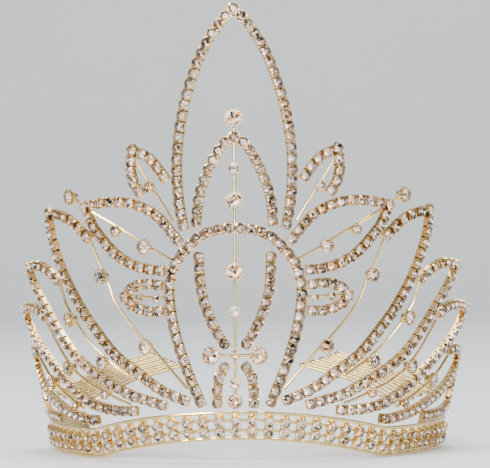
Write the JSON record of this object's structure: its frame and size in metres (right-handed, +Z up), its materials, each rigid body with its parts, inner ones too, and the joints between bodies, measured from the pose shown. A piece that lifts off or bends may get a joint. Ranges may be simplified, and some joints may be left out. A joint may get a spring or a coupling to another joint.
{
  "type": "pageant crown",
  "caption": "Tall open pageant crown: a flared band set with clear stones carries stone-set strands bent into pointed leaves, gold wire sprays with single stones, and two side combs.",
  "frame": {"origin": "on the resting plane, under the middle of the band's oval", "axes": "+Z up; the front faces -Y; +X to the right of someone who looks at the front"},
  "size_m": [0.1722, 0.1335, 0.1678],
  "materials": {
    "gold_wire": "polished pale gold plating",
    "stone_chain": "foil-backed cut glass in plated prong cups",
    "stone": "foil-backed cut glass"
  },
  "bodies": {
    "root": {"band": "gold_wire", "centre_tip": "gold_wire", "centre_wire_top": "gold_wire", "centre_wire_low": "gold_wire", "wing_wire_left": "gold_wire", "wing_wire_right": "gold_wire", "wing_tip_left": "gold_wire", "wing_tip_right": "gold_wire", "small_wire_left": "gold_wire", "small_wire_right": "gold_wire", "petal_wire_left": "gold_wire", "petal_wire_right": "gold_wire", "long_wire_left": "gold_wire", "long_wire_right": "gold_wire", "side_wire_1_left": "gold_wire", "side_wire_1_right": "gold_wire", "side_wire_2_left": "gold_wire", "side_wire_2_right": "gold_wire", "side_wire_3_left": "gold_wire", "side_wire_3_right": "gold_wire", "comb_left": "gold_wire", "comb_right": "gold_wire", "tall_leaf": "stone_chain", "inner_leaf": "stone_chain", "arch": "stone_chain", "inner_side_left": "stone_chain", "inner_side_right": "stone_chain", "loop_left": "stone_chain", "loop_right": "stone_chain", "petal_left": "stone_chain", "petal_right": "stone_chain", "wing_leaf_left": "stone_chain", "wing_leaf_right": "stone_chain", "small_leaf_left": "stone_chain", "small_leaf_right": "stone_chain", "side_leaf_1_left": "stone_chain", "side_leaf_1_right": "stone_chain", "side_leaf_2_left": "stone_chain", "side_leaf_2_right": "stone_chain", "side_leaf_3_left": "stone_chain", "side_leaf_3_right": "stone_chain", "side_leaf_4_left": "stone_chain", "side_leaf_4_right": "stone_chain", "side_inner_left": "stone_chain", "side_inner_right": "stone_chain", "side_foot_left": "stone_chain", "side_foot_right": "stone_chain", "band_stones_upper": "stone", "band_stones_lower": "stone", "stones_centre": "stone", "stones_left": "stone", "stones_right": "stone"}
  },
  "joints": []
}
